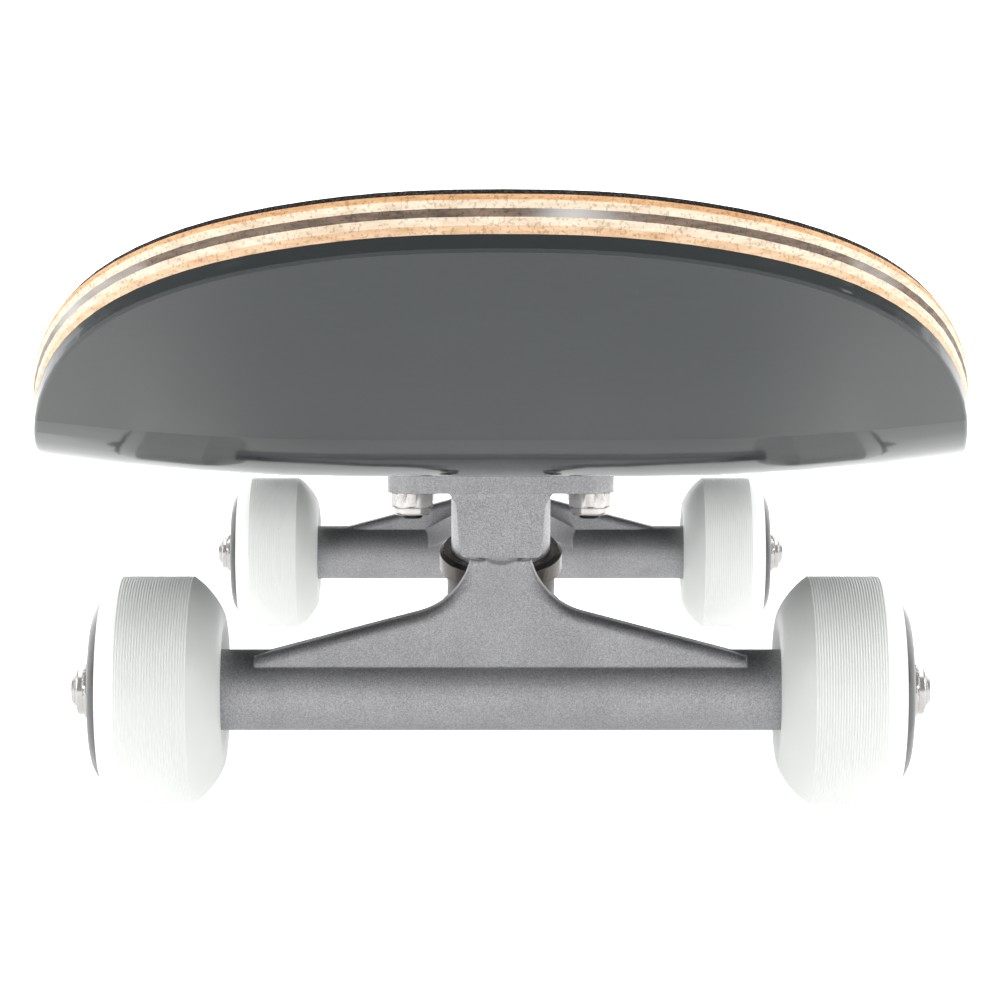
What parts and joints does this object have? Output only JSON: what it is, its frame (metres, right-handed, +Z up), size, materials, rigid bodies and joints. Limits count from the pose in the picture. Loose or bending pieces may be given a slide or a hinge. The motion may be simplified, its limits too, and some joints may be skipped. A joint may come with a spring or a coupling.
{
  "type": "skateboard",
  "caption": "Street skateboard: pressed plywood deck with kicked nose and tail, cast kingpin trucks that steer on urethane bushings, and white wheels on ball bearings.",
  "frame": {"origin": "on the floor under the middle of the bounding box", "axes": "+Z up, length along Y with the nose at -Y, axles along X"},
  "size_m": [0.2034, 0.771, 0.1408],
  "materials": {
    "wood_top": "satin maple, orange stain",
    "wood_light": "bare maple edge",
    "wood_dark": "dark stained maple edge",
    "wood_peach": "bare maple edge, warm",
    "deck_paint": "high-gloss dark slate lacquer on maple",
    "grip": "black silicon-carbide grit sheet",
    "cast_aluminium": "tumbled sand-cast, mid grey",
    "bushing_urethane": "black urethane",
    "steel": "plain turned steel",
    "zinc": "bright zinc plate",
    "dark_washer": "dark plated pressed steel",
    "bearing_steel": "ground steel",
    "bolt_steel": "black oxide",
    "wheel_urethane": "milky white cast urethane, fine turned ribs on the tread, black printed outer face",
    "shield": "black seal"
  },
  "bodies": {
    "deck": {"ply_1": "wood_top", "ply_2": "wood_light", "ply_3": "wood_dark", "ply_4": "wood_light", "ply_5": "wood_peach", "ply_6": "deck_paint", "ply_7": "deck_paint", "grip_tape": "grip", "baseplate_front": "cast_aluminium", "pivot_cup_front": "bushing_urethane", "kingpin_front": "steel", "kingpin_nut_front": "zinc", "board_bushing_front": "bushing_urethane", "road_bushing_front": "bushing_urethane", "board_washer_front": "dark_washer", "road_washer_front": "dark_washer", "mounting_bolts_front": "bolt_steel", "lock_nuts_front": "zinc", "baseplate_rear": "cast_aluminium", "pivot_cup_rear": "bushing_urethane", "kingpin_rear": "steel", "kingpin_nut_rear": "zinc", "board_bushing_rear": "bushing_urethane", "road_bushing_rear": "bushing_urethane", "board_washer_rear": "dark_washer", "road_washer_rear": "dark_washer", "mounting_bolts_rear": "bolt_steel", "lock_nuts_rear": "zinc"},
    "front_hanger": {"hanger_front": "cast_aluminium", "axle_front": "steel", "speed_washers_front": "zinc", "axle_nuts_front": "zinc", "bearing_spacers_front": "steel", "bearing_inner_rings_front": "bearing_steel"},
    "front_left_wheel": {"wheel_front_left": "wheel_urethane", "bearing_outer_rings_front_left": "bearing_steel", "bearing_shields_front_left": "shield", "bearing_balls_front_left": "bearing_steel"},
    "front_right_wheel": {"wheel_front_right": "wheel_urethane", "bearing_outer_rings_front_right": "bearing_steel", "bearing_shields_front_right": "shield", "bearing_balls_front_right": "bearing_steel"},
    "rear_hanger": {"hanger_rear": "cast_aluminium", "axle_rear": "steel", "speed_washers_rear": "zinc", "axle_nuts_rear": "zinc", "bearing_spacers_rear": "steel", "bearing_inner_rings_rear": "bearing_steel"},
    "rear_left_wheel": {"wheel_rear_left": "wheel_urethane", "bearing_outer_rings_rear_left": "bearing_steel", "bearing_shields_rear_left": "shield", "bearing_balls_rear_left": "bearing_steel"},
    "rear_right_wheel": {"wheel_rear_right": "wheel_urethane", "bearing_outer_rings_rear_right": "bearing_steel", "bearing_shields_rear_right": "shield", "bearing_balls_rear_right": "bearing_steel"}
  },
  "joints": [
    {"name": "front_steer", "type": "hinge", "parent": "deck", "child": "front_hanger", "pos_m": [0, -0.2285, 0.068], "axis": [0, 0.824, -0.5665], "range_deg": [-12, 12], "stiffness_Nm_per_rad": 60, "deforming": ["board_bushing_front", "road_bushing_front"]},
    {"name": "front_left_spin", "type": "hinge", "parent": "front_hanger", "child": "front_left_wheel", "pos_m": [-0.081, -0.2175, 0.027], "axis": [1, 0, 0], "continuous": true},
    {"name": "front_right_spin", "type": "hinge", "parent": "front_hanger", "child": "front_right_wheel", "pos_m": [0.081, -0.2175, 0.027], "axis": [1, 0, 0], "continuous": true},
    {"name": "rear_steer", "type": "hinge", "parent": "deck", "child": "rear_hanger", "pos_m": [0, 0.2335, 0.068], "axis": [0, -0.824, -0.5665], "range_deg": [-12, 12], "stiffness_Nm_per_rad": 60, "deforming": ["board_bushing_rear", "road_bushing_rear"]},
    {"name": "rear_left_spin", "type": "hinge", "parent": "rear_hanger", "child": "rear_left_wheel", "pos_m": [0.081, 0.2225, 0.027], "axis": [1, 0, 0], "continuous": true},
    {"name": "rear_right_spin", "type": "hinge", "parent": "rear_hanger", "child": "rear_right_wheel", "pos_m": [-0.081, 0.2225, 0.027], "axis": [1, 0, 0], "continuous": true}
  ]
}
